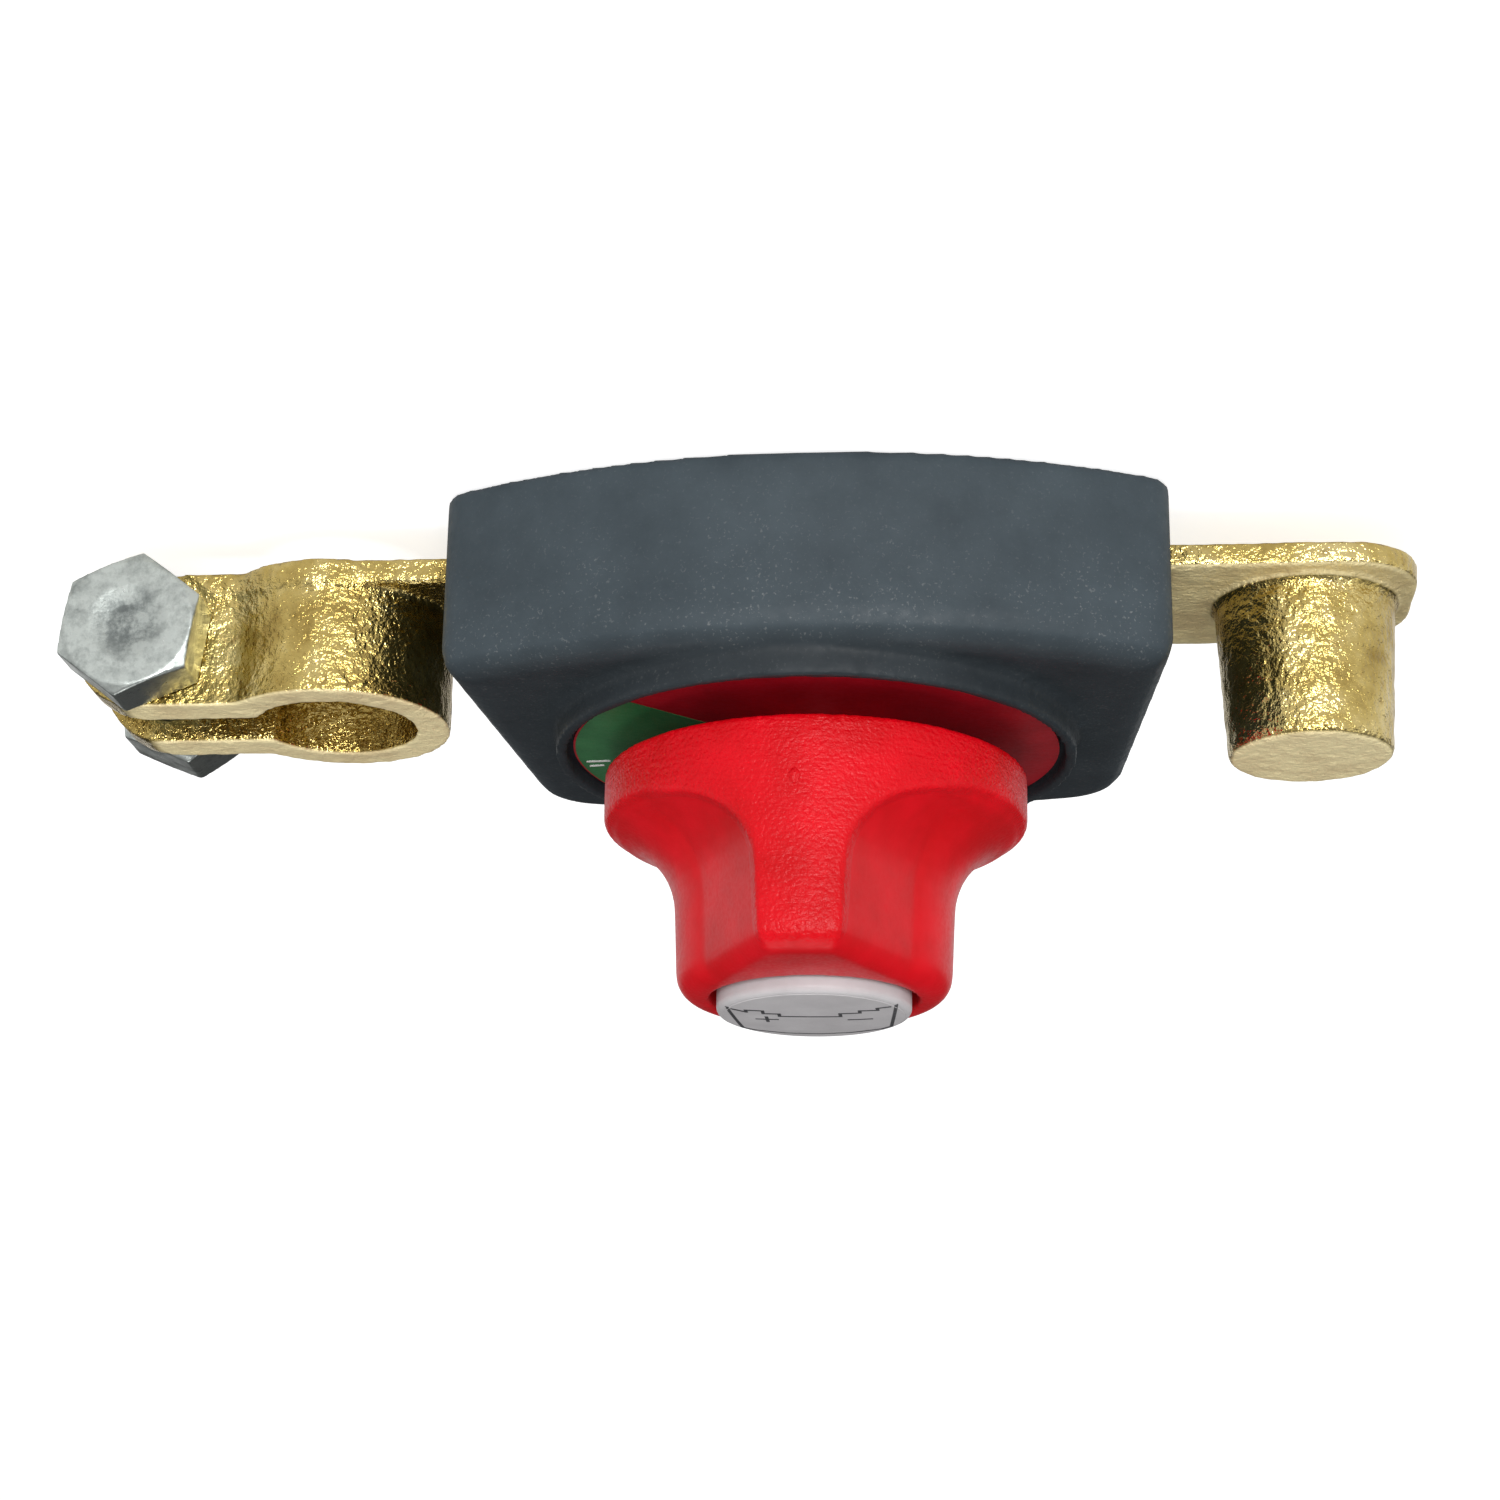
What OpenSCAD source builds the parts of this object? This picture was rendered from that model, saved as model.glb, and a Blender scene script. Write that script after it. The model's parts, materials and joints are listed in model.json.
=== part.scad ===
/* [Housing] */
// half width of the housing at its front corners
case_half_front = 34.2; // [28:0.1:45]
// half width of the housing at its rear corners
case_half_rear = 30.9; // [24:0.1:45]
// distance from the turning axis to the middle of the curved front wall
case_front_y = 27.4; // [24:0.1:40]
// distance from the turning axis to the middle of the rear wall
case_rear_y = 27; // [24:0.1:40]
// radius of the curved front wall
case_front_r = 74; // [50:1:150]
// radius of the rear wall
case_rear_r = 110; // [60:1:200]
// rounding of the two front corners in plan
front_corner_r = 3; // [2.6:0.1:6]
// rounding of the two rear corners in plan
rear_corner_r = 7; // [3:0.5:10]
// height of the dial face above the flat bottom
case_h = 18.5; // [17:0.1:30]
// rounding of the edge around the dial face
case_edge_r = 3; // [1:0.1:4]
// thickness of the side walls
wall = 2.6; // [2:0.1:4]
// thickness of the housing above the contact chamber
roof_t = 3; // [2.5:0.1:6]
// half length of the contact chamber between the two terminal blocks
chamber_half = 20.6; // [20.4:0.1:30]

/* [Dial] */
// outer diameter of the raised collar round the dial
collar_od = 51; // [49:0.1:70]
// wall thickness of the collar
collar_t = 1.1; // [0.8:0.1:2]
// height of the collar rim above the dial face
collar_h = 2.7; // [1.6:0.1:5]
// depth of the dial floor below the collar rim
dial_depth = 1.8; // [1:0.1:3]
// thickness of the printed dial plate
dial_t = 0.8; // [0.4:0.1:1.5]
// radial gap between dial plate and collar
dial_gap = 0.6; // [0.3:0.1:1.5]

/* [Terminals] */
// distance from the turning axis to each battery pole axis
pole_x = 48; // [44:0.5:80]
// clearance in the housing round a clamp ring on either pole axis
pole_clear = 1; // [0.5:0.1:1.4]
// height of the underside of both terminal bars above the flat bottom
bar_z = 3.2; // [3:0.1:6]
// thickness of the terminal bars
bar_t = 2.5; // [2:0.1:5]
// width of the terminal bars
bar_w = 21.8; // [16:0.1:30]
// corner rounding of the plate under the post
plate_corner_r = 7.5; // [3:0.5:8]
// distance from the turning axis to the inner end of each bar
bar_inner_x = 8.7; // [8:0.1:12]
// diameter of the small end of the battery post
post_top_d = 15.9; // [12.7:0.1:17.5]
// taper of the battery post, as one part in this many
post_taper = 9; // [6:1:20]
// height of the battery post above its bar
post_h = 15.9; // [12:0.1:20]
// chamfer at the free end of the post
post_chamfer = 0.45; // [0.2:0.05:1]
// diameter of the clamp bore
clamp_bore_d = 15.9; // [12.7:0.1:19.5]
// wall thickness of the clamp ring
clamp_wall = 3.4; // [2.5:0.1:6]
// height of the clamp ring from the underside of the bar
clamp_h = 13.8; // [12:0.1:18]
// width of the clamping slot
slot_w = 6.8; // [3:0.1:9]
// thickness of each clamp ear
ear_t = 4.3; // [3:0.1:6]
// distance from the clamp bore axis to the bolt axis
bolt_reach = 18.3; // [17:0.1:26]
// fillet between clamp ring and ears
ear_fillet = 3; // [1:0.1:4]
// step of the thicker foot at the bottom of the ring
foot_step = 0.3; // [0.1:0.05:0.8]
// diameter of the bolt holes in the ears
bolt_hole_d = 8.6; // [8.2:0.1:10]

/* [Clamp bolt] */
// nominal diameter of the clamp bolt
bolt_d = 8; // [6:1:10]
// width across flats of bolt head and nut
hex_af = 13; // [10:0.5:16]
// height of the bolt head
head_h = 5.3; // [4:0.1:7]
// height of the nut
nut_h = 6.5; // [5:0.1:8]
// length of the bolt under its head
bolt_len = 25; // [22:1:35]
// turn of the hexagons about the bolt axis
hex_turn = 37.3; // [0:0.1:60]
// depth of the dish in the head
dish_h = 0.3; // [0.1:0.05:1]

/* [Contacts] */
// distance from the turning axis to each fixed contact
contact_x = 14; // [13:0.1:18]
// diameter of the fixed contact heads
contact_d = 9; // [6:0.5:12]
// height of the fixed contact heads
contact_h = 1.6; // [1:0.1:3]
// diameter of the contact rivet shanks
rivet_d = 5; // [3:0.5:6]
// gap between fixed contacts and bridge
bridge_gap = 0.15; // [0.1:0.05:0.5]
// half length of the moving contact bridge
bridge_half = 19; // [17:0.1:24]
// width of the moving contact bridge
bridge_w = 12; // [8:0.5:14]
// thickness of the moving contact bridge
bridge_t = 2.2; // [1.5:0.1:4]
// outer diameter of the contact spring washers
spring_od = 11.4; // [9.5:0.1:14]
// thickness of one spring washer
spring_t = 0.5; // [0.3:0.05:1]

/* [Rotor] */
// diameter of the spindle
shaft_d = 10; // [8:0.5:14]
// diameter of the lower end of the spindle
stub_d = 7; // [5:0.5:8]
// side of the square on which the bridge carrier sits
lower_square = 7; // [5.5:0.1:10]
// side of the square on which the knob sits
upper_square = 7; // [5.5:0.1:10]
// wall thickness of the spindle bushing
bushing_wall = 3; // [2:0.1:4]
// width of the lip of the bushing on the dial
bushing_lip = 1.6; // [1:0.1:2.5]
// outer diameter of the bridge carrier
carrier_d = 26; // [22:0.5:30]
// thickness of the bridge carrier
carrier_t = 3; // [2:0.1:5]
// radius of the detent nose and its notches
detent_r = 1.5; // [1:0.1:2.5]
// reach of the stop lug beyond the carrier
lug_reach = 3; // [2:0.1:4]
// width of the stop lug
lug_w = 4; // [3:0.1:6]
// turn of the knob from off to on
turn_deg = 90; // [60:5:120]

/* [Knob] */
// height of the knob flange above the collar rim
knob_gap = 2; // [1:0.1:4]
// diameter of the knob flange
flange_d = 41.2; // [36:0.1:48]
// straight height of the flange edge at its lowest place
flange_edge_h = 4.5; // [3:0.1:8]
// overall height of the knob above its flange face
knob_h = 22.1; // [18:0.1:30]
// radius of the round hub of the grip
hub_r = 13.5; // [12:0.1:16]
// half width of the pointer rib at the flange edge
rib_half = 3.8; // [2.5:0.1:6]
// how far the flanks of the rib run inside the hub circle
flank_in = 0.45; // [0.35:0.05:1]
// rounding of the lower edge of the flange
shoulder_edge = 0.7; // [0.3:0.1:1.5]
// radius of the hollow between the flange and the grip
grip_fillet = 8.5; // [5:0.1:10]
// rounding of the end of the grip
grip_edge = 2.4; // [1:0.1:3]
// narrowing of the grip towards its end
grip_draft = 0.25; // [0.05:0.05:0.5]
// diameter of the round recess in the end of the grip
recess_d = 20.1; // [16:0.1:22]
// depth of that recess
recess_h = 3.3; // [2:0.1:5]
// diameter of the round cover in the recess
cap_d = 18.7; // [15:0.1:21]
// height of the round cover above the end of the grip
cap_rise = 1.35; // [0:0.05:2]
// rounding of the edge of the round cover
cap_edge = 0.7; // [0.3:0.1:1]
// rise of the slightly domed cover
cap_dome = 0.35; // [0.1:0.05:2]
// diameter of the knob screw head
knob_screw_head = 7.6; // [6:0.1:9]
// diameter of the knob screw
knob_screw_d = 4; // [3:0.5:5]
// length of the knob screw under its head
knob_screw_len = 10; // [8:0.5:12]

/* [Fits] */
// clearance of parts that are pushed together
fit = 0.1; // [0.05:0.05:0.3]
// clearance of parts that turn in each other
turn_fit = 0.05; // [0.02:0.01:0.2]
// thickness of the bottom cover
cover_t = 2; // [1.5:0.1:2.8]
// thickness of the gasket over the bottom cover
gasket_t = 0.8; // [0.4:0.1:1]
// width of the gasket
gasket_w = 2.4; // [1.5:0.1:4]
// diameter of the cover screws
cover_screw_d = 3; // [2.5:0.5:4]
// diameter of the screws that hold the terminal bars
bar_screw_d = 4; // [3:0.5:5]

/* [Hidden] */
far = 200;
sliver = 0.01;
slice_t = 0.12;
collar_r = collar_od / 2;
rim_z = case_h + collar_h;
floor_z = rim_z - dial_depth;
dial_r = collar_r - collar_t - dial_gap;
ceiling_z = case_h - roof_t;
seat_z = cover_t + gasket_t;
bar_top = bar_z + bar_t;
post_end_z = bar_top + post_h;
post_base_d = post_top_d + post_h / post_taper;
clamp_r = clamp_bore_d / 2 + clamp_wall;
clamp_top = bar_z + clamp_h;
ear_half = slot_w / 2 + ear_t;
bolt_x = pole_x + bolt_reach;
plate_end_x = pole_x + post_base_d / 2 + 1.8;
bolt_z = bar_z + clamp_h / 2;
hex_r = hex_af / sqrt(3);
bridge_z = bar_top + contact_h + bridge_gap;
bridge_top = bridge_z + bridge_t;
carrier_top = ceiling_z - 0.3;
carrier_z = carrier_top - carrier_t;
carrier_r = carrier_d / 2;
bushing_r = shaft_d / 2 + bushing_wall;
bushing_flange_r = bushing_r + bushing_lip;
seal_r = 0.75;
seal_z = (ceiling_z + floor_z) / 2 + 0.2;
knob_z = rim_z + knob_gap;
knob_top = knob_z + knob_h;
recess_z = knob_top - recess_h;
web_t = 2;
web_z = recess_z - 2 - web_t;
shaft_top = web_z - 5;
flange_r = flange_d / 2;
boss_r = bushing_flange_r - 1;
clip_t = 0.7;
clip_z = bridge_z - clip_t - 0.35;
tail_h = 0.5;
cover_head_d = 1.87 * cover_screw_d;
cover_head_h = cover_screw_d / 2;
cover_screw_len = 0.65 * ceiling_z;
bar_head_d = 1.875 * bar_screw_d;
bar_head_h = 0.45 * bar_screw_d;
bar_screw_len = ceiling_z - bar_z - 3.3;
// the cover screws stand inside the gasket, in the four corners
screw_in = wall + 0.4 + gasket_w + cover_screw_d / 2 + 1.2;
front_screw_x = case_half_front - screw_in - 1;
rear_screw_x = case_half_rear - screw_in + 0.4;
function arc_drop(r, x) = r - sqrt(r * r - x * x);
front_screw_y = screw_in - case_front_y + arc_drop(case_front_r, front_screw_x);
rear_screw_y = case_rear_y - screw_in - arc_drop(case_rear_r, rear_screw_x);
cover_screws = [
    [-front_screw_x, front_screw_y], [front_screw_x, front_screw_y],
    [-rear_screw_x, rear_screw_y], [rear_screw_x, rear_screw_y]
];
side_x = (case_half_front + case_half_rear) / 2;
bar_screw_x = (chamber_half + side_x) / 2;
spot_r = hex_r + 0.4;
leaf_y = carrier_r + 1.3;
leaf_t = 0.5;
leaf_half = 13.4;
lug_at = 225;
lug_turn = atan(lug_w / 2 / (carrier_r + 0.6)) + atan(1.5 / (carrier_r + 0.6)) + 1.2;

module case_raw() {
    side = (case_half_front - case_half_rear) / 34;
    intersection() {
        translate([0, case_front_r - case_front_y]) circle(r = case_front_r, $fn = 180);
        translate([0, case_rear_y - case_rear_r]) circle(r = case_rear_r, $fn = 240);
        polygon([
            [-case_half_front - side * 23, -40], [case_half_front + side * 23, -40],
            [case_half_rear - side * 23, 40], [-case_half_rear + side * 23, 40]
        ]);
    }
}

// plan of the housing: curved front, sharper front corners, rounder rear corners
module case_plan() {
    intersection() {
        offset(r = front_corner_r, $fn = 32) offset(delta = -front_corner_r) case_raw();
        translate([-far / 2, -far]) square([far, far]);
    }
    intersection() {
        offset(r = rear_corner_r, $fn = 56) offset(delta = -rear_corner_r) case_raw();
        translate([-far / 2, -1]) square([far, far]);
    }
}

module case_slice(z, inset) {
    translate([0, 0, z]) linear_extrude(height = slice_t) offset(delta = -inset) case_plan();
}

module case_body() {
    hull() {
        case_slice(0, 0.4);
        case_slice(0.5, 0);
        for (a = [0 : 30 : 90])
            case_slice(case_h - case_edge_r * (1 - sin(a)) - slice_t, case_edge_r * (1 - cos(a)));
    }
}

module inset_block(inset, z, h) {
    translate([0, 0, z]) linear_extrude(height = h) offset(delta = -inset) case_plan();
}

module box(x0, x1, y0, y1, z0, z1) {
    translate([x0, y0, z0]) cube([x1 - x0, y1 - y0, z1 - z0]);
}

// a countersunk screw standing head down, its flat head face at z = 0
module flat_screw(d, head, depth, length, slot) {
    difference() {
        union() {
            cylinder(h = depth, d1 = head, d2 = d, $fn = 64);
            translate([0, 0, depth - sliver]) cylinder(h = length - depth - d / 4, d = d, $fn = 64);
            translate([0, 0, length - d / 4 - 2 * sliver])
                cylinder(h = d / 4, d1 = d, d2 = d / 2, $fn = 64);
        }
        for (a = [0, 90]) rotate([0, 0, a])
            translate([-slot * 1.8, -slot / 2, -1]) cube([slot * 3.6, slot, 1 + depth * 0.6]);
    }
}

module flat_screw_hole(d, head, depth, length) {
    translate([0, 0, -1]) cylinder(h = 1 + sliver, d = head + 2 * fit, $fn = 64);
    cylinder(h = depth, d1 = head + 2 * fit, d2 = d + 2 * fit, $fn = 64);
    translate([0, 0, -1]) cylinder(h = length + 1.4, d = d + 2 * fit, $fn = 64);
}

module cover_screw_hole() {
    flat_screw_hole(cover_screw_d, cover_head_d, cover_head_h, cover_screw_len);
}

module bar_screw_hole() {
    flat_screw_hole(bar_screw_d, bar_head_d, bar_head_h, bar_screw_len);
}

module bar_screw_spot() {
    translate([bar_screw_x, 0, bar_z]) children();
}

module stop_ribs() {
    for (a = [lug_at - lug_turn, lug_at + turn_deg + lug_turn]) rotate([0, 0, a])
        box(carrier_r + 0.5, carrier_r + lug_reach + 1.5, -1.5, 1.5, carrier_z, ceiling_z + 1);
}

module leaf_holders() {
    for (s = [-1, 1]) translate([s * (leaf_half - 1), leaf_y, 0])
        box(-2, 2, -1.5, 2, carrier_z, ceiling_z + 1);
}

module housing() {
    color([0.2, 0.23, 0.26])
    difference() {
        union() {
            difference() {
                union() {
                    case_body();
                    translate([0, 0, case_h - case_edge_r])
                        cylinder(h = collar_h + case_edge_r, r = collar_r, $fn = 180);
                }
                // contact chamber between the two terminal blocks
                intersection() {
                    inset_block(wall, -1, ceiling_z + 1);
                    box(-chamber_half, chamber_half, -far, far, -2, ceiling_z);
                }
                // seat of the bottom cover and its gasket
                inset_block(wall - 0.4, -1, seat_z + 1);
            }
            stop_ribs();
            leaf_holders();
            // bosses of the cover screws
            for (p = cover_screws) translate([p[0], p[1], seat_z])
                cylinder(h = ceiling_z + 1 - seat_z, r = cover_head_d / 2 + 0.6, $fn = 64);
        }
        // slot for the detent leaf
        translate([0, leaf_y, carrier_z])
            box(-leaf_half - fit, leaf_half + fit, -fit, leaf_t + fit, -1, carrier_t + 0.1);
        // sunk dial floor and the bearing hole
        translate([0, 0, floor_z]) cylinder(h = far, r = collar_r - collar_t, $fn = 180);
        translate([0, 0, ceiling_z - 1]) cylinder(h = far, r = bushing_r + fit, $fn = 96);
        // the terminal bars enter from below on both sides
        for (s = [-1, 1])
            box(min(s * (chamber_half - 1), s * far), max(s * (chamber_half - 1), s * far),
                -bar_w / 2 - fit, bar_w / 2 + fit, -1, bar_top);
        // room for a clamp ring on either pole axis
        for (s = [-1, 1]) translate([s * pole_x, 0, -1])
            cylinder(h = far, r = clamp_r + pole_clear, $fn = 144);
        for (p = cover_screws) translate([p[0], p[1], 0]) cover_screw_hole();
        for (s = [0, 180]) rotate([0, 0, s]) bar_screw_spot() bar_screw_hole();
    }
}

module dial_plate() {
    color([0.78, 0.06, 0.1])
    translate([0, 0, floor_z]) difference() {
        cylinder(h = dial_t, r = dial_r, $fn = 180);
        translate([0, 0, -1]) cylinder(h = dial_t + 2, r = bushing_flange_r + fit, $fn = 96);
    }
}

module shaft_bushing() {
    color([0.82, 0.8, 0.74])
    difference() {
        union() {
            translate([0, 0, ceiling_z]) cylinder(h = floor_z - ceiling_z, r = bushing_r, $fn = 96);
            translate([0, 0, floor_z]) cylinder(h = dial_t, r = bushing_flange_r, $fn = 96);
        }
        translate([0, 0, ceiling_z - 1]) cylinder(h = far, r = shaft_d / 2 + turn_fit, $fn = 96);
        translate([0, 0, seal_z - seal_r - turn_fit])
            cylinder(h = 2 * (seal_r + turn_fit), r = shaft_d / 2 + 2 * seal_r + 2 * turn_fit, $fn = 96);
    }
}

module shaft_seal() {
    color([0.08, 0.08, 0.09])
    translate([0, 0, seal_z]) rotate_extrude($fn = 96)
        translate([shaft_d / 2 + seal_r + turn_fit, 0]) circle(r = seal_r, $fn = 32);
}

module base_cover() {
    edge = wall - 0.4 + fit;
    color([0.12, 0.13, 0.15])
    difference() {
        union() {
            inset_block(edge, 0, cover_t);
            // tongues that close the side walls below the terminal bars
            for (s = [-1, 1]) intersection() {
                inset_block(0.4, 0, bar_z - fit);
                difference() {
                    box(-far, far, -bar_w / 2 + fit, bar_w / 2 - fit, -1, far);
                    inset_block(edge + 0.4, cover_t, far);
                }
                box(min(0, s * far), max(0, s * far), -far, far, -1, far);
            }
        }
        for (p = cover_screws) translate([p[0], p[1], 0]) cover_screw_hole();
    }
}

module base_gasket() {
    outer = wall + 0.4;
    color([0.05, 0.05, 0.05])
    difference() {
        inset_block(outer, cover_t, gasket_t);
        inset_block(outer + gasket_w, cover_t - 1, gasket_t + 2);
    }
}

module cover_screw(i) {
    color([0.7, 0.71, 0.73])
    translate([cover_screws[i][0], cover_screws[i][1], 0])
        flat_screw(cover_screw_d, cover_head_d, cover_head_h, cover_screw_len, cover_screw_d * 0.27);
}
module cover_screw_1() { cover_screw(0); }
module cover_screw_2() { cover_screw(1); }
module cover_screw_3() { cover_screw(2); }
module cover_screw_4() { cover_screw(3); }

module bar_holes() {
    translate([contact_x, 0, bar_z - 1]) cylinder(h = bar_t + 2, d = rivet_d + 2 * fit, $fn = 64);
    bar_screw_spot() bar_screw_hole();
}

// plan of ring and ears, with filleted inner corners
module clamp_plan() {
    offset(r = -ear_fillet, $fn = 96) offset(delta = ear_fillet) union() {
        circle(r = clamp_r, $fn = 144);
        translate([0, -ear_half]) square([far, 2 * ear_half]);
    }
}

module clamp_terminal() {
    color([0.76, 0.6, 0.28])
    difference() {
        union() {
            difference() {
                box(bar_inner_x, pole_x, -bar_w / 2, bar_w / 2, bar_z, bar_top);
                bar_holes();
            }
            intersection() {
                translate([pole_x, 0, bar_z]) union() {
                    linear_extrude(height = clamp_h) clamp_plan();
                    linear_extrude(height = bar_t) offset(r = foot_step, $fn = 96) clamp_plan();
                }
                union() {
                    box(pole_x - clamp_r - 1, bolt_x, -far / 2, far / 2, bar_z, clamp_top);
                    along_bolt(-far / 2) cylinder(h = far, r = clamp_h / 2, $fn = 96);
                }
            }
        }
        translate([pole_x, 0, 0]) cylinder(h = far, d = clamp_bore_d, $fn = 128);
        box(pole_x, far, -slot_w / 2, slot_w / 2, 0, far);
        along_bolt(-far / 2) cylinder(h = far, d = bolt_hole_d, $fn = 64);
        // flat seats of bolt head and nut
        for (s = [0, 1]) mirror([0, s, 0]) along_bolt(ear_half) cylinder(h = 20, r = spot_r, $fn = 96);
    }
}

module post_terminal() {
    corner_y = bar_w / 2 - plate_corner_r;
    color([0.76, 0.6, 0.28])
    union() {
        difference() {
            union() {
                box(plate_corner_r - plate_end_x, -bar_inner_x, -bar_w / 2, bar_w / 2, bar_z, bar_top);
                box(-plate_end_x, -pole_x, -corner_y, corner_y, bar_z, bar_top);
                for (s = [-1, 1]) translate([plate_corner_r - plate_end_x, s * corner_y, bar_z])
                    cylinder(h = bar_t, r = plate_corner_r, $fn = 96);
            }
            rotate([0, 0, 180]) bar_holes();
        }
        translate([-pole_x, 0, bar_top - sliver]) {
            cylinder(h = post_h - post_chamfer + sliver, d1 = post_base_d,
                d2 = post_top_d + post_chamfer / post_taper, $fn = 144);
            translate([0, 0, post_h - post_chamfer])
                cylinder(h = post_chamfer + sliver, d1 = post_top_d + post_chamfer / post_taper,
                    d2 = post_top_d - 1.4 * post_chamfer, $fn = 144);
            cylinder(h = 0.7, d1 = post_base_d + 1.2, d2 = post_base_d - 0.1, $fn = 144);
        }
    }
}

module contact_rivet() {
    color([0.86, 0.86, 0.84])
    translate([contact_x, 0, 0]) {
        translate([0, 0, bar_top]) cylinder(h = contact_h - 0.4, d = contact_d, $fn = 96);
        translate([0, 0, bar_top + contact_h - 0.4 - sliver])
            cylinder(h = 0.4 + sliver, d1 = contact_d, d2 = contact_d - 1.2, $fn = 96);
        translate([0, 0, bar_z - sliver]) cylinder(h = bar_t + 2 * sliver, d = rivet_d, $fn = 64);
        translate([0, 0, bar_z - tail_h]) cylinder(h = tail_h, d1 = rivet_d, d2 = rivet_d + 1.4, $fn = 64);
    }
}
module clamp_contact() { contact_rivet(); }
module post_contact() { rotate([0, 0, 180]) contact_rivet(); }

module bar_screw() {
    color([0.7, 0.71, 0.73]) bar_screw_spot()
        flat_screw(bar_screw_d, bar_head_d, bar_head_h, bar_screw_len, bar_screw_d / 4);
}
module clamp_bar_screw() { bar_screw(); }
module post_bar_screw() { rotate([0, 0, 180]) bar_screw(); }

module detent_spring() {
    color([0.72, 0.73, 0.75])
    intersection() {
        union() {
            box(-leaf_half, leaf_half, leaf_y, leaf_y + leaf_t, carrier_z + 0.2, carrier_top);
            translate([0, leaf_y, carrier_z + 0.2])
                cylinder(h = carrier_t - 0.2, r = detent_r, $fn = 48);
        }
        box(-far, far, 0, leaf_y + leaf_t, 0, far);
    }
}

module spindle() {
    color([0.55, 0.57, 0.6])
    difference() {
        union() {
            translate([0, 0, clip_z - 1.2]) cylinder(h = carrier_z - clip_z + 1.3, d = stub_d, $fn = 64);
            translate([-lower_square / 2, -lower_square / 2, carrier_z])
                cube([lower_square, lower_square, carrier_top - carrier_z + sliver]);
            translate([0, 0, carrier_top]) cylinder(h = shaft_top - carrier_top, d = shaft_d, $fn = 96);
            translate([-upper_square / 2, -upper_square / 2, shaft_top - sliver])
                cube([upper_square, upper_square, web_z - fit - shaft_top]);
        }
        // groove of the retaining clip
        difference() {
            translate([0, 0, clip_z - fit / 2]) cylinder(h = clip_t + fit, d = stub_d + 2, $fn = 64);
            translate([0, 0, clip_z - 1]) cylinder(h = clip_t + 2, d = stub_d - 1.6, $fn = 64);
        }
        // tapped hole of the knob screw
        translate([0, 0, web_z - knob_screw_len - 1])
            cylinder(h = far, d = knob_screw_d + 2 * fit, $fn = 48);
    }
}

module bridge_carrier() {
    color([0.9, 0.88, 0.8])
    difference() {
        union() {
            translate([0, 0, carrier_z]) cylinder(h = carrier_t, r = carrier_r, $fn = 144);
            // lugs that hold the bridge from both sides
            for (s = [0, 180]) rotate([0, 0, s])
                box(bridge_w / 2 + fit, bridge_w / 2 + 2.4, -7, 7, bridge_z + 0.6, carrier_z + 1);
            rotate([0, 0, lug_at])
                box(carrier_r - 2, carrier_r + lug_reach, -lug_w / 2, lug_w / 2, carrier_z, carrier_top);
        }
        translate([-lower_square / 2 - fit, -lower_square / 2 - fit, carrier_z - 1])
            cube([lower_square + 2 * fit, lower_square + 2 * fit, carrier_t + 2]);
        for (a = [90, 90 - turn_deg]) rotate([0, 0, a]) translate([leaf_y, 0, carrier_z - 1])
            cylinder(h = carrier_t + 2, r = detent_r + fit, $fn = 48);
    }
}

module contact_spring() {
    h = (carrier_z - bridge_top) / 2;
    ri = stub_d / 2 + 0.25;
    ro = spring_od / 2;
    color([0.6, 0.62, 0.65])
    translate([0, 0, bridge_top]) rotate_extrude($fn = 96)
        polygon([
            [ri, 0], [ri + spring_t, 0], [ro, h - spring_t / 2], [ro, h + spring_t / 2],
            [ri + spring_t, 2 * h], [ri, 2 * h], [ro - spring_t, h]
        ]);
}

module contact_bridge() {
    color([0.8, 0.5, 0.32])
    difference() {
        intersection() {
            box(-bridge_w / 2, bridge_w / 2, -bridge_half, bridge_half, bridge_z, bridge_top);
            translate([0, 0, bridge_z - 1]) cylinder(h = bridge_t + 2, r = bridge_half, $fn = 144);
        }
        translate([0, 0, bridge_z - 1]) cylinder(h = bridge_t + 2, d = stub_d + 4 * fit, $fn = 64);
    }
}

module retaining_clip() {
    color([0.5, 0.52, 0.55])
    translate([0, 0, clip_z]) difference() {
        cylinder(h = clip_t, d = stub_d + 4, $fn = 64);
        translate([0, 0, -1]) cylinder(h = clip_t + 2, d = stub_d - 1.6 + fit, $fn = 64);
        box(0, far, -1.6, 1.6, -1, clip_t + 1);
    }
}

// rounded outer edge from the side at (x, z) inwards and up, in steps of so many degrees
function round_edge(x, z, r, step) =
    [for (a = [0 : step : 90]) [x - r * (1 - cos(a)), z + r * sin(a)]];

// outline of flange shoulder and grip: distance outside the hub, and height
function grip_profile(base, top) = concat(
    round_edge(flange_r - hub_r, base, shoulder_edge, 30),
    [for (a = [18 : 9 : 90])
        [grip_fillet * (1 - sin(a)), base + shoulder_edge + 0.1 + grip_fillet * (1 - cos(a))]],
    round_edge(-grip_draft, top - grip_edge, grip_edge, 18)
);

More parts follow.
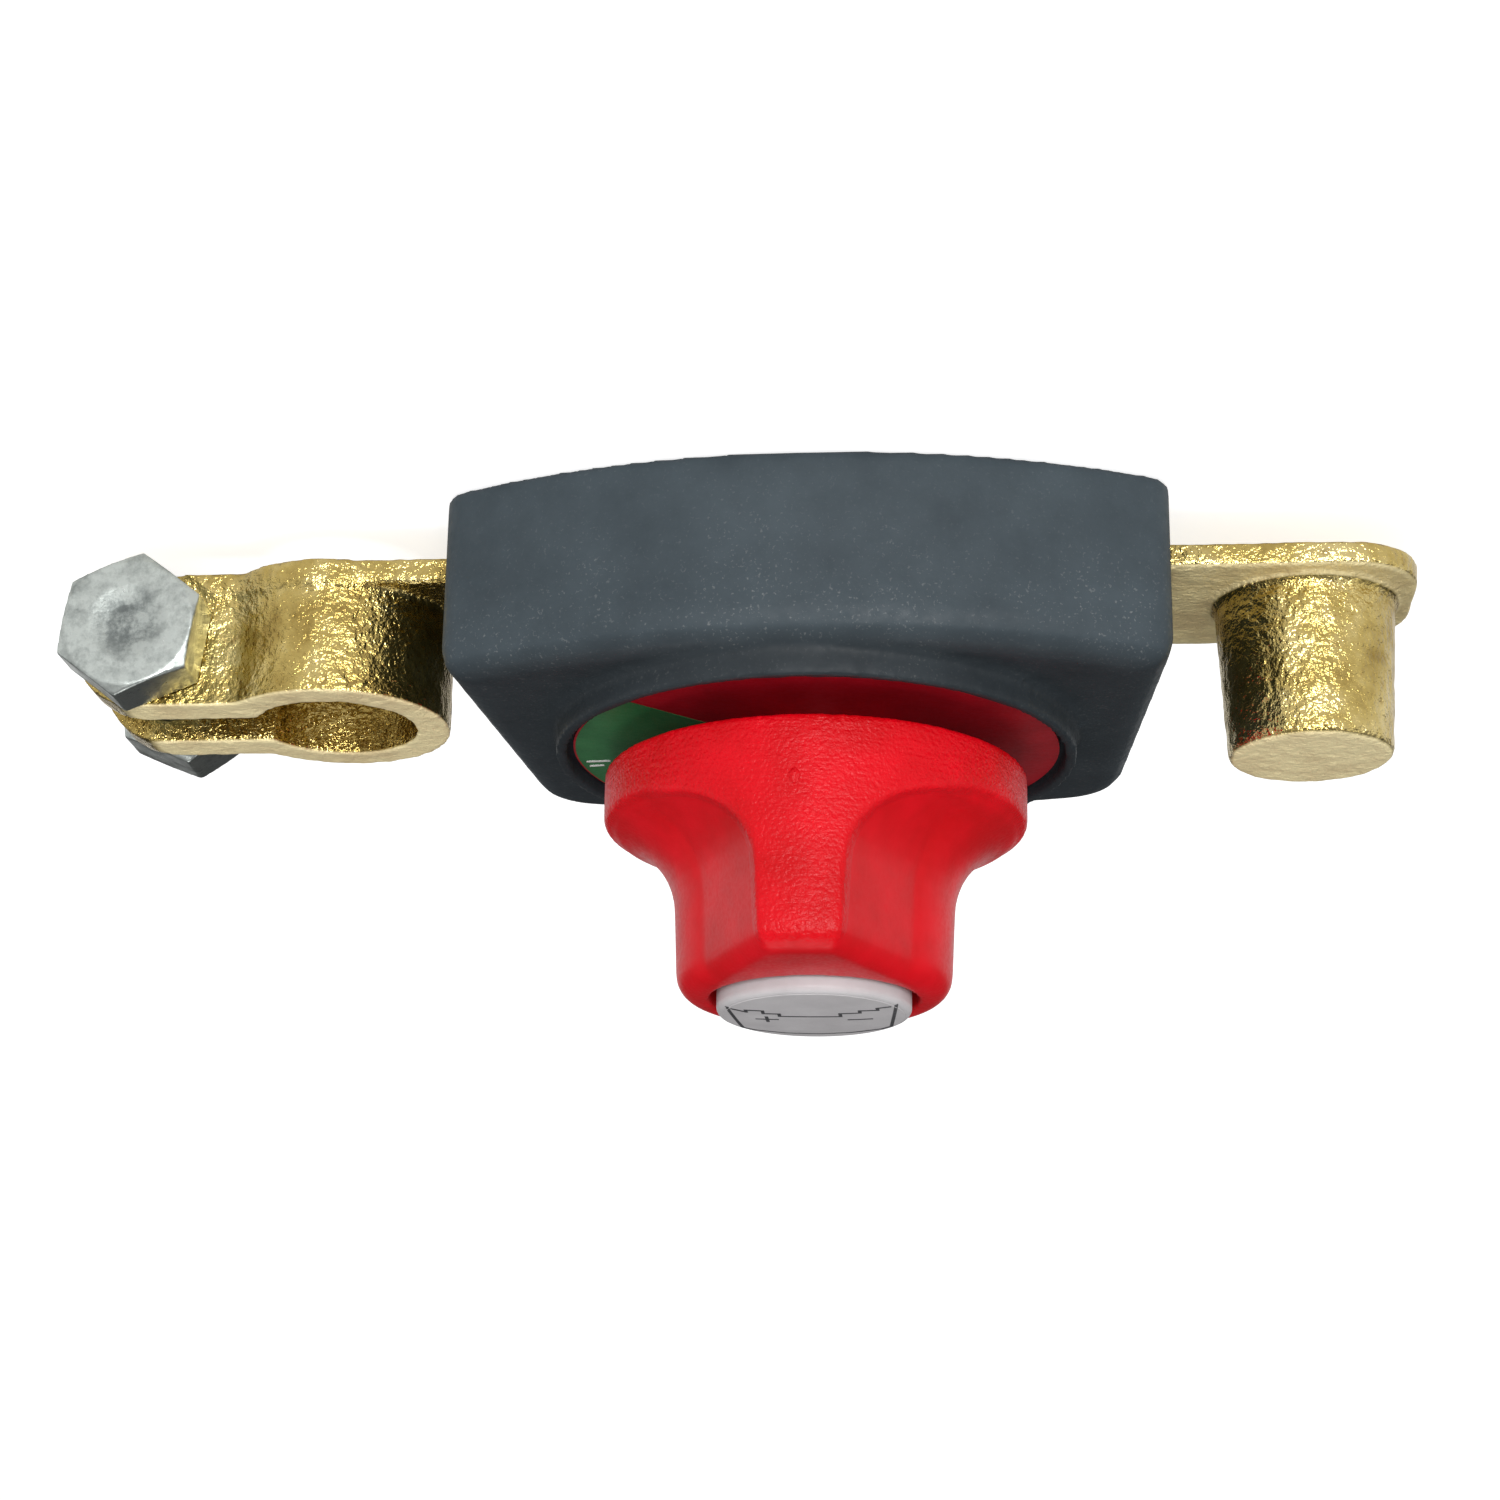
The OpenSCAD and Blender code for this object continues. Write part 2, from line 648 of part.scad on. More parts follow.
module knob_shell() {
    edge_z = knob_z + flange_edge_h;
    // the flanks of the rib stand a little higher than the shoulder of the hub
    flank_up = 0.12;
    flank = grip_profile(edge_z + flank_up, knob_top + flank_up);
    reach = sqrt(rib_half * rib_half + flange_r * flange_r);
    // direction in which the flanks of the pointer rib face
    t = atan(rib_half / flange_r) + acos((hub_r - flank_in) / reach);
    rotate_extrude($fn = 144) polygon(concat(
        [[0, knob_z], [flange_r, knob_z], [flange_r, edge_z]],
        [for (p = grip_profile(edge_z, knob_top)) [hub_r + p[0], p[1]]],
        [[0, knob_top]]
    ));
    difference() {
        intersection() {
            rotate_extrude($fn = 144) polygon(concat(
                [[0, knob_z + 1], [flange_r, knob_z + 1]],
                round_edge(flange_r, knob_top - grip_edge, grip_edge, 18),
                [[0, knob_top]]
            ));
            linear_extrude(height = far) polygon([
                [0, 0], [-far * sin(t + 3), -far * cos(t + 3)], [-far, -far], [far, -far],
                [far * sin(t + 3), -far * cos(t + 3)]
            ]);
        }
        for (m = [0, 1]) mirror([m, 0, 0]) rotate([0, 0, t - 90])
            translate([0, 60, 0]) rotate([90, 0, 0]) linear_extrude(height = 120) polygon(concat(
                [[far, edge_z - 2], [hub_r + 7.6, edge_z - 2]],
                [for (p = flank) [hub_r - flank_in + p[0], p[1]]],
                [[hub_r - flank_in - grip_draft - grip_edge, far], [far, far]]
            ));
    }
}

module knob() {
    color([0.85, 0.05, 0.1])
    difference() {
        union() {
            knob_shell();
            translate([0, 0, floor_z + dial_t + 0.2]) cylinder(h = 8, r = boss_r, $fn = 96);
        }
        // hollow underside between rim and boss
        difference() {
            translate([0, 0, knob_z - 1]) cylinder(h = 5, r = flange_r - 2.2, $fn = 144);
            translate([0, 0, knob_z - 2]) cylinder(h = 7, r = boss_r, $fn = 96);
        }
        translate([0, 0, 0]) cylinder(h = shaft_top + fit, d = shaft_d + 2 * fit, $fn = 96);
        translate([-upper_square / 2 - fit, -upper_square / 2 - fit, shaft_top - 1])
            cube([upper_square + 2 * fit, upper_square + 2 * fit, web_z - shaft_top + 1]);
        translate([0, 0, web_z - 1]) cylinder(h = far, d = knob_screw_d + 4 * fit, $fn = 48);
        translate([0, 0, web_z + web_t]) cylinder(h = far, d = knob_screw_head + 6 * fit, $fn = 64);
        translate([0, 0, recess_z]) cylinder(h = far, d = recess_d, $fn = 128);
    }
}

module knob_screw() {
    color([0.7, 0.71, 0.73])
    translate([0, 0, web_z + web_t]) difference() {
        union() {
            cylinder(h = 1.4, d = knob_screw_head, $fn = 64);
            translate([0, 0, 1.4 - sliver])
                cylinder(h = 0.9, d1 = knob_screw_head, d2 = knob_screw_head - 2, $fn = 64);
            translate([0, 0, -knob_screw_len])
                cylinder(h = knob_screw_len + sliver, d = knob_screw_d, $fn = 48);
        }
        for (a = [0, 90]) rotate([0, 0, a]) translate([0, 0, 1])
            box(-knob_screw_d * 0.55, knob_screw_d * 0.55, -knob_screw_d / 8, knob_screw_d / 8, 0, 3);
    }
}

module knob_cap() {
    r = cap_d / 2;
    side_top = knob_top + cap_rise - cap_edge;
    top_clear = side_top + cap_edge + cap_dome + 1;
    dome_r = (r * r + cap_dome * cap_dome) / (2 * cap_dome);
    color([0.86, 0.86, 0.87])
    difference() {
        intersection() {
            translate([0, 0, knob_top + cap_rise + cap_dome - dome_r]) sphere(r = dome_r, $fn = 180);
            rotate_extrude($fn = 144) polygon(concat(
                [[0, recess_z], [r, recess_z]],
                round_edge(r, side_top, cap_edge, 18),
                [[r - cap_edge - 1, top_clear], [0, top_clear]]
            ));
        }
        translate([0, 0, recess_z - 1]) cylinder(h = recess_h + cap_rise - 0.5, r = r - 1.6, $fn = 96);
    }
}

module hex_blank(h, top, bottom) {
    outside_r = hex_r + 0.4;
    chamfered_r = hex_af / 2 - 0.15;
    intersection() {
        cylinder(h = h, r = hex_r, $fn = 6);
        union() {
            cylinder(h = 0.7, r1 = bottom ? chamfered_r : hex_r, r2 = outside_r, $fn = 96);
            translate([0, 0, 0.7]) cylinder(h = h - 1.4, r = outside_r, $fn = 96);
            translate([0, 0, h - 0.7 - sliver])
                cylinder(h = 0.7 + sliver, r1 = outside_r, r2 = top ? chamfered_r : hex_r, $fn = 96);
        }
    }
}

// the bolt points towards the rear, its head in front of the front ear
module along_bolt(y) {
    translate([bolt_x, y, bolt_z]) rotate([-90, 0, 0]) children();
}

module clamp_bolt() {
    color([0.68, 0.69, 0.71])
    difference() {
        union() {
            along_bolt(-ear_half) mirror([0, 0, 1]) rotate([0, 0, hex_turn])
                hex_blank(head_h, true, false);
            along_bolt(-ear_half - 0.5) cylinder(h = bolt_len - 0.5, d = bolt_d, $fn = 64);
            along_bolt(-ear_half + bolt_len - 1.02)
                cylinder(h = 1, d1 = bolt_d, d2 = bolt_d - 1.6, $fn = 64);
        }
        // shallow dish in the head
        along_bolt(-ear_half - head_h - sliver)
            cylinder(h = dish_h + sliver, d1 = hex_af * 0.62, d2 = hex_af * 0.3, $fn = 64);
    }
}

module clamp_nut() {
    color([0.66, 0.67, 0.69])
    difference() {
        along_bolt(ear_half) rotate([0, 0, -hex_turn]) hex_blank(nut_h, true, true);
        along_bolt(ear_half - 1) cylinder(h = nut_h + 2, d = bolt_d + 2 * turn_fit, $fn = 64);
    }
}

housing();
dial_plate();
shaft_bushing();
shaft_seal();
base_gasket();
base_cover();
cover_screw_1();
cover_screw_2();
cover_screw_3();
cover_screw_4();
clamp_terminal();
post_terminal();
clamp_contact();
post_contact();
clamp_bar_screw();
post_bar_screw();
detent_spring();
spindle();
bridge_carrier();
contact_spring();
contact_bridge();
retaining_clip();
knob();
knob_screw();
knob_cap();
clamp_bolt();
clamp_nut();
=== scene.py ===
import json
import math
import bpy
from mathutils import Matrix, Vector

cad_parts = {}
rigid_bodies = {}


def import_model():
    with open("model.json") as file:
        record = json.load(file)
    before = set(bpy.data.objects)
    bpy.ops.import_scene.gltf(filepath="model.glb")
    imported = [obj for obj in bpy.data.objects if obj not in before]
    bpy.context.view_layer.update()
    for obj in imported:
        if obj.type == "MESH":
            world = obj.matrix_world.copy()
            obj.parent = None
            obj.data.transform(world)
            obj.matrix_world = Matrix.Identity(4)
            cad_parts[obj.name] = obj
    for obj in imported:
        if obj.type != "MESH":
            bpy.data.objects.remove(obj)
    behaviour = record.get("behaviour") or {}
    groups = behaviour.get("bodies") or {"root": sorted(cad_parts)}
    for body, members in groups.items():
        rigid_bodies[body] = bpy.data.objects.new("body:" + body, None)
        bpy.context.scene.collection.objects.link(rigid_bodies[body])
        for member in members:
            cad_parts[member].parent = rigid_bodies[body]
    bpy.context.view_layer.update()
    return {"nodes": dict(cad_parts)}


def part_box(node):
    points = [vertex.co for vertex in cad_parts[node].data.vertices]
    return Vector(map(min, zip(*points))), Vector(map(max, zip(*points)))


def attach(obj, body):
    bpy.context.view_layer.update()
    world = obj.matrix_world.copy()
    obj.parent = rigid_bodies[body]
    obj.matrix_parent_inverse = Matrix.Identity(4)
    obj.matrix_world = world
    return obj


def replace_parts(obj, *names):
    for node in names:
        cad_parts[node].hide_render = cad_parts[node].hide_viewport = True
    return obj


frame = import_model()
nodes = frame["nodes"]
mm = 0.001      # the pieces' settings are in millimetres, the materials' in metres
nutLow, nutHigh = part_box("clamp_nut")
boltX, boltZ = (nutLow.x + nutHigh.x) / 2, (nutLow.z + nutHigh.z) / 2       # the bolt's axis runs along Y


# small helpers that every piece uses

def deselectAll():
    if bpy.context.object and bpy.context.object.mode != "OBJECT":
        bpy.ops.object.mode_set(mode="OBJECT")
    bpy.ops.object.select_all(action="DESELECT")


def makeActive(piece):
    deselectAll()
    piece.select_set(True)
    bpy.context.view_layer.objects.active = piece


def takeNew(name):
    piece = bpy.context.object
    piece.name = name
    piece.data.name = name
    return piece


def settle(piece):
    makeActive(piece)
    bpy.ops.object.transform_apply(location=True, rotation=True, scale=True)


def editFaces(piece, wanted):
    makeActive(piece)
    bpy.ops.object.mode_set(mode="EDIT")
    bpy.ops.mesh.select_mode(type="FACE")
    bpy.ops.mesh.select_all(action="DESELECT")
    bpy.ops.object.mode_set(mode="OBJECT")
    for face in piece.data.polygons:
        face.select = wanted(face)
    bpy.ops.object.mode_set(mode="EDIT")


def leaveEdit():
    bpy.ops.object.mode_set(mode="OBJECT")


def applyAll(piece):
    makeActive(piece)
    for modifier in list(piece.modifiers):
        bpy.ops.object.modifier_apply(modifier=modifier.name)


def joinPieces(name, pieces):
    deselectAll()
    for piece in pieces:
        piece.select_set(True)
    bpy.context.view_layer.objects.active = pieces[0]
    bpy.ops.object.join()
    return takeNew(name)


def tidyMesh(piece, merge=0.0):
    makeActive(piece)
    bpy.ops.object.mode_set(mode="EDIT")
    bpy.ops.mesh.select_all(action="SELECT")
    if merge:
        bpy.ops.mesh.remove_doubles(threshold=merge)
    bpy.ops.mesh.normals_make_consistent(inside=False)
    leaveEdit()


def give(piece, surface):
    piece.data.materials.clear()
    piece.data.materials.append(surface)


# the camera of the photograph

cameraSettings = {
    "place": (-0.01937, -0.2790, 0.1133),
    "azimuth": -5.3,
    "downTilt": 18.45,
    "roll": 0.84,
    "lens": 72.0,
}


def placeCamera():
    az = math.radians(cameraSettings["azimuth"])
    el = math.radians(cameraSettings["downTilt"])
    roll = math.radians(cameraSettings["roll"])
    backwards = Vector((math.sin(az) * math.cos(el), -math.cos(az) * math.cos(el), math.sin(el)))
    forwards = -backwards
    right = forwards.cross(Vector((0, 0, 1))).normalized()
    up = right.cross(forwards)
    # the object is shown hanging from its knob side, so the picture's down is the object's up
    pictureRight, pictureDown = -right, up
    turnedRight = math.cos(roll) * pictureRight - math.sin(roll) * pictureDown
    turnedDown = math.sin(roll) * pictureRight + math.cos(roll) * pictureDown
    bpy.ops.object.camera_add(location=cameraSettings["place"])
    camera = bpy.context.object
    camera.name = "photoCamera"
    turn = Matrix((turnedRight, -turnedDown, backwards)).transposed()
    camera.matrix_world = Matrix.Translation(cameraSettings["place"]) @ turn.to_4x4()
    camera.data.lens = cameraSettings["lens"]
    camera.data.sensor_width = 36.0
    camera.data.clip_start = 0.01
    camera.data.clip_end = 20.0
    bpy.context.scene.camera = camera


placeCamera()
print("camera placed")


# materials

def newSurface(name, metallic=0.0, ior=1.5, coat=0.0, coatRoughness=0.2, shine=0.5):
    surface = bpy.data.materials.new(name)
    surface.use_nodes = True
    shader = surface.node_tree.nodes["Principled BSDF"]
    shader.inputs["Metallic"].default_value = metallic
    shader.inputs["IOR"].default_value = ior
    shader.inputs["Coat Weight"].default_value = coat
    shader.inputs["Coat Roughness"].default_value = coatRoughness
    shader.inputs["Specular IOR Level"].default_value = shine
    return surface, shader


def addNode(surface, kind, **values):
    made = surface.node_tree.nodes.new(kind)
    for key, value in values.items():
        setattr(made, key, value)
    return made


def join(surface, outSocket, inSocket):
    surface.node_tree.links.new(outSocket, inSocket)


def objectPlace(surface):
    return addNode(surface, "ShaderNodeTexCoord").outputs["Object"]


def noise(surface, place, scale, detail=3.0, roughness=0.55, stretch=None):
    if stretch:
        mapping = addNode(surface, "ShaderNodeMapping")
        mapping.inputs["Scale"].default_value = stretch
        join(surface, place, mapping.inputs["Vector"])
        place = mapping.outputs["Vector"]
    texture = addNode(surface, "ShaderNodeTexNoise")
    texture.inputs["Scale"].default_value = scale
    texture.inputs["Detail"].default_value = detail
    texture.inputs["Roughness"].default_value = roughness
    join(surface, place, texture.inputs["Vector"])
    return texture.outputs["Fac"]


def ramp(surface, factor, stops):
    colours = addNode(surface, "ShaderNodeValToRGB")
    elements = colours.color_ramp.elements
    while len(elements) < len(stops):
        elements.new(0.5)
    for element, (position, colour) in zip(elements, stops):
        element.position = position
        element.color = (*colour, 1.0)
    join(surface, factor, colours.inputs["Fac"])
    return colours.outputs["Color"]


def times(surface, first, second):
    return mathNode(surface, "MULTIPLY", first, second)


def distanceFrom(surface, first, second):
    squares = times(surface, first, first), times(surface, second, second)
    return mathNode(surface, "SQRT", mathNode(surface, "ADD", *squares))


def span(surface, factor, low, high, start=0.3, end=0.7):
    mapped = addNode(surface, "ShaderNodeMapRange")
    for socket, value in (("From Min", start), ("From Max", end), ("To Min", low), ("To Max", high)):
        mapped.inputs[socket].default_value = value
    join(surface, factor, mapped.inputs["Value"])
    return mapped.outputs["Result"]


def bumps(surface, shader, layers):
    normal = None
    for height, distance, strength in layers:
        bump = addNode(surface, "ShaderNodeBump")
        bump.inputs["Distance"].default_value = distance
        bump.inputs["Strength"].default_value = strength
        join(surface, height, bump.inputs["Height"])
        if normal:
            join(surface, normal, bump.inputs["Normal"])
        normal = bump.outputs["Normal"]
    join(surface, normal, shader.inputs["Normal"])


def mixColours(surface, factor, first, second):
    mixed = addNode(surface, "ShaderNodeMix", data_type="RGBA")
    for socket, value in ((6, first), (7, second)):
        if isinstance(value, tuple):
            mixed.inputs[socket].default_value = (*value, 1.0)
        else:
            join(surface, value, mixed.inputs[socket])
    join(surface, factor, mixed.inputs[0])
    return mixed.outputs[2]


def axisOf(surface, place, axis):
    parts = addNode(surface, "ShaderNodeSeparateXYZ")
    join(surface, place, parts.inputs["Vector"])
    return parts.outputs[axis]


def mathNode(surface, operation, first, second=None):
    made = addNode(surface, "ShaderNodeMath", operation=operation)
    for index, value in enumerate((first, second)):
        if value is None:
            continue
        if isinstance(value, (int, float)):
            made.inputs[index].default_value = value
        else:
            join(surface, value, made.inputs[index])
    return made.outputs[0]


housingLook = {
    "dark": (0.034, 0.047, 0.056),
    "light": (0.054, 0.072, 0.084),
    "dust": (0.19, 0.20, 0.20),
    "grain": 900,
    "blotch": 110,
    "specks": 3100,
    "dustLow": 0.005,       # the dust gets denser from this height to the next
    "dustHigh": 0.014,
    "paintedShadeFrom": 0.0168,     # painted shade: the dial face and its collar are painted darker, from this height to the next, for the shade of the housing's front edge
    "paintedShadeTo": 0.0188,
    "paintedShadeDepth": 0.42,
    "paintedShadeColour": (0.004, 0.004, 0.005),
    "blotchBump": (0.0003, 0.12),       # height in metres, and strength
    "grainBump": (0.00009, 0.4),
    "speckBump": (0.00003, 0.3),
}


def makeHousingPlastic():
    surface, shader = newSurface("housingPlastic", ior=1.46, shine=0.3)
    place = objectPlace(surface)
    blotch = noise(surface, place, housingLook["blotch"], 5.0, 0.6)
    grain = noise(surface, place, housingLook["grain"], 3.0)
    specks = noise(surface, place, housingLook["specks"], 2.0, 0.6)
    colour = ramp(surface, blotch, ((0.3, housingLook["dark"]), (0.7, housingLook["light"])))
    height = span(surface, axisOf(surface, place, 2), 0.25, 1.0,
                  housingLook["dustLow"], housingLook["dustHigh"])
    patches = span(surface, blotch, 0.3, 1.0, 0.42, 0.62)
    dots = span(surface, specks, 0.0, 0.75, 0.60, 0.74)
    dust = times(surface, times(surface, height, patches), dots)
    dusty = mixColours(surface, dust, colour, housingLook["dust"])
    # painted shade: above this height the dial face and collar are mixed towards near-black
    paintedShade = span(surface, axisOf(surface, place, 2), 0.0, 1.0 - housingLook["paintedShadeDepth"],
                 housingLook["paintedShadeFrom"], housingLook["paintedShadeTo"])
    join(surface, mixColours(surface, paintedShade, dusty, housingLook["paintedShadeColour"]), shader.inputs["Base Color"])
    join(surface, span(surface, grain, 0.46, 0.66), shader.inputs["Roughness"])
    layers = (blotch, "blotchBump"), (grain, "grainBump"), (specks, "speckBump")
    bumps(surface, shader, [(height, *housingLook[name]) for height, name in layers])
    return surface


knobLook = {
    "deep": (0.56, 0.0005, 0.004),
    "bright": (0.72, 0.001, 0.009),
    "cloud": 140,
    "smear": 800,
    "smearStretch": (0.3, 0.3, 2.4),
    "stipple": 2600,
    "stippleFrom": 0.0196,      # the outer cylinder is textured, the hollows are smooth
    "stippleTo": 0.0203,
    "grainBump": (0.00022, 0.6),
    "streakBump": (0.00022, 0.35),
    "fineBump": (0.00004, 0.15),
}


def makeKnobRed():
    surface, shader = newSurface("knobRed", ior=1.5, shine=0.2)
    place = objectPlace(surface)
    cloud = noise(surface, place, knobLook["cloud"], 3.0)
    stipple = noise(surface, place, knobLook["stipple"], 2.0, 0.5)
    smear = noise(surface, place, knobLook["smear"], 3.0, 0.6, stretch=knobLook["smearStretch"])
    radius = distanceFrom(surface, axisOf(surface, place, 0), axisOf(surface, place, 1))
    outside = span(surface, radius, 0.0, 1.0, knobLook["stippleFrom"], knobLook["stippleTo"])
    colour = ramp(surface, cloud, ((0.35, knobLook["deep"]), (0.68, knobLook["bright"])))
    join(surface, colour, shader.inputs["Base Color"])
    grain, streak = times(surface, stipple, outside), times(surface, smear, outside)
    join(surface, span(surface, stipple, 0.30, 0.44), shader.inputs["Roughness"])
    layers = (grain, "grainBump"), (streak, "streakBump"), (stipple, "fineBump")
    bumps(surface, shader, [(height, *knobLook[name]) for height, name in layers])
    return surface


capLook = {
    "base": (0.60, 0.58, 0.59),
    "shade": (0.51, 0.49, 0.50),
    "cloud": 260,
    "fine": 3400,
    "fineBump": (0.00003, 0.3),
}


def makeCapGrey():
    surface, shader = newSurface("capGrey", ior=1.48, shine=0.4)
    place = objectPlace(surface)
    cloud = noise(surface, place, capLook["cloud"], 4.0)
    fine = noise(surface, place, capLook["fine"], 2.0)
    colour = ramp(surface, cloud, ((0.3, capLook["shade"]), (0.7, capLook["base"])))
    join(surface, colour, shader.inputs["Base Color"])
    join(surface, span(surface, fine, 0.38, 0.5), shader.inputs["Roughness"])
    bumps(surface, shader, ((fine, *capLook["fineBump"]),))
    return surface


dialLook = {
    "red": ((0.30, 0.003, 0.010), (0.42, 0.006, 0.017)),
    "green": ((0.024, 0.13, 0.042), (0.044, 0.20, 0.07)),
    "cloud": 180,
    "fine": 2000,
    "fineBump": (0.00002, 0.25),
}


def makeDial(name, tone):
    surface, shader = newSurface(name, ior=1.5, coat=0.06, coatRoughness=0.2, shine=0.35)
    place = objectPlace(surface)
    cloud = noise(surface, place, dialLook["cloud"], 3.0)
    fine = noise(surface, place, dialLook["fine"], 2.0)
    deep, bright = dialLook[tone]
    join(surface, ramp(surface, cloud, ((0.3, deep), (0.7, bright))), shader.inputs["Base Color"])
    join(surface, span(surface, fine, 0.28, 0.42), shader.inputs["Roughness"])
    bumps(surface, shader, ((fine, *dialLook["fineBump"]),))
    return surface


brassLook = {
    "deep": (0.31, 0.205, 0.050),
    "mid": (0.57, 0.43, 0.14),
    "bright": (0.80, 0.66, 0.31),
    "facedDark": (0.80, 0.65, 0.36),
    "faced": (1.00, 0.86, 0.49),        # the flat face at the top, ground and dull
    "stain": (0.26, 0.14, 0.04),
    "patch": 170,
    "cast": 1150,
    "pits": 2300,
    "spots": 520,
    "faceFades": (0.00035, 0.00015),        # metres below the top face
    "plateFades": (0.00020, 0.00038),       # metres on either side of the plate's face
    "footToFace": 0.003,    # metres from the foot of the contact's rivet up to the plate's face
    "facedDull": 0.35,      # what grinding adds to the roughness
    "facedPale": 0.8,       # and takes from the metal's mirror
    "patchBump": (0.0006, 0.3),
    "castBump": (0.00040, 0.75),
    "pitBump": (0.00010, 0.5),
}


def makeBrass(name, faceAbove, plateAt=None):
    surface, shader = newSurface(name, metallic=1.0)
    place = objectPlace(surface)
    patch = noise(surface, place, brassLook["patch"], 6.0, 0.62)
    cast = noise(surface, place, brassLook["cast"], 3.0, 0.55)
    pits = noise(surface, place, brassLook["pits"], 2.0, 0.5)
    spots = noise(surface, place, brassLook["spots"], 2.0, 0.5)
    tones = (0.3, brassLook["deep"]), (0.5, brassLook["mid"]), (0.72, brassLook["bright"])
    colour = ramp(surface, patch, tones)
    stained = mixColours(surface, span(surface, spots, 0.0, 0.6, 0.64, 0.8), colour, brassLook["stain"])
    height = axisOf(surface, place, 2)
    faceFrom, faceTo = (faceAbove - below for below in brassLook["faceFades"])
    faced = span(surface, height, 0.0, 1.0, faceFrom, faceTo)
    if plateAt:
        away = mathNode(surface, "ABSOLUTE", mathNode(surface, "SUBTRACT", height, plateAt))
        plate = span(surface, away, 0.75, 0.0, *brassLook["plateFades"])
        faced = mathNode(surface, "MAXIMUM", faced, plate)
    ground = ramp(surface, patch, ((0.36, brassLook["facedDark"]), (0.56, brassLook["faced"])))
    join(surface, mixColours(surface, faced, stained, ground), shader.inputs["Base Color"])
    dull = times(surface, faced, brassLook["facedDull"])
    rough = mathNode(surface, "ADD", span(surface, patch, 0.24, 0.13), dull)
    join(surface, rough, shader.inputs["Roughness"])
    metal = mathNode(surface, "SUBTRACT", 1.0, times(surface, faced, brassLook["facedPale"]))
    join(surface, metal, shader.inputs["Metallic"])
    layers = (patch, "patchBump"), (cast, "castBump"), (pits, "pitBump")
    bumps(surface, shader, [(height, *brassLook[name]) for height, name in layers])
    return surface


zincLook = {
    "dark": (0.22, 0.24, 0.23),
    "light": (0.56, 0.60, 0.57),
    # painted reflection: the dark colour put in the middle of the bolt head's end
    "paintedReflection": (0.10, 0.115, 0.115),
    "patch": 420,
    "fine": 1900,
    "patchBump": (0.0003, 0.25),
    "fineBump": (0.00005, 0.35),
}


def makeZinc(name, paintedReflection=None):
    surface, shader = newSurface(name, metallic=1.0)
    place = objectPlace(surface)
    patch = noise(surface, place, zincLook["patch"], 6.0, 0.7)
    fine = noise(surface, place, zincLook["fine"], 3.0)
    colour = ramp(surface, patch, ((0.3, zincLook["dark"]), (0.56, zincLook["light"])))
    # painted reflection: blotches in the middle of the bolt head's end are darkened, for a dark reflection
    if paintedReflection:
        x = mathNode(surface, "SUBTRACT", axisOf(surface, place, 0), paintedReflection["x"])
        z = mathNode(surface, "SUBTRACT", axisOf(surface, place, 2), paintedReflection["z"])
        radius = distanceFrom(surface, x, z)
        middle = span(surface, radius, 0.75, 0.0, paintedReflection["radius"] * 0.4, paintedReflection["radius"])
        along = axisOf(surface, place, 1)
        outside = span(surface, along, 1.0, 0.0, *(paintedReflection["y"] + depth for depth in paintedReflection["depths"]))
        blotches = span(surface, patch, 1.0, 0.25, 0.42, 0.60)
        amount = times(surface, times(surface, middle, outside), blotches)
        colour = mixColours(surface, amount, colour, zincLook["paintedReflection"])
    join(surface, colour, shader.inputs["Base Color"])
    join(surface, span(surface, patch, 0.46, 0.24), shader.inputs["Roughness"])
    bumps(surface, shader, ((patch, *zincLook["patchBump"]), (fine, *zincLook["fineBump"])))
    return surface


plainLook = {
    "metalPatch": 300,
    "drawn": 900,
    "drawnStretch": (1.0, 6.0, 1.0),
    "drawnBump": (0.00003, 0.3),
    "plasticPatch": 160,
    "fine": 2200,
    "fineBump": (0.00004, 0.3),
}


def makePlainMetal(name, dark, light, rough):
    surface, shader = newSurface(name, metallic=1.0)
    place = objectPlace(surface)
    patch = noise(surface, place, plainLook["metalPatch"], 4.0)
    drawn = noise(surface, place, plainLook["drawn"], 2.0, 0.5, stretch=plainLook["drawnStretch"])
    join(surface, ramp(surface, patch, ((0.3, dark), (0.7, light))), shader.inputs["Base Color"])
    join(surface, span(surface, drawn, rough - 0.08, rough + 0.1), shader.inputs["Roughness"])
    bumps(surface, shader, ((drawn, *plainLook["drawnBump"]),))
    return surface


def makePlainPlastic(name, dark, light, rough):
    surface, shader = newSurface(name, ior=1.48)
    place = objectPlace(surface)
    patch = noise(surface, place, plainLook["plasticPatch"], 4.0)
    fine = noise(surface, place, plainLook["fine"], 2.0)
    join(surface, ramp(surface, patch, ((0.3, dark), (0.7, light))), shader.inputs["Base Color"])
    join(surface, span(surface, fine, rough - 0.06, rough + 0.1), shader.inputs["Roughness"])
    bumps(surface, shader, ((fine, *plainLook["fineBump"]),))
    return surface


housingPlastic = makeHousingPlastic()
knobRed = makeKnobRed()
capGrey = makeCapGrey()
dialRed = makeDial("dialRed", "red")
dialGreen = makeDial("dialGreen", "green")
clampBrass = makeBrass("clampBrass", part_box("clamp_terminal")[1].z)
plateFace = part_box("post_contact")[0].z + brassLook["footToFace"]
postBrass = makeBrass("postBrass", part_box("post_terminal")[1].z, plateFace)
zincSteel = makeZinc("zincSteel")
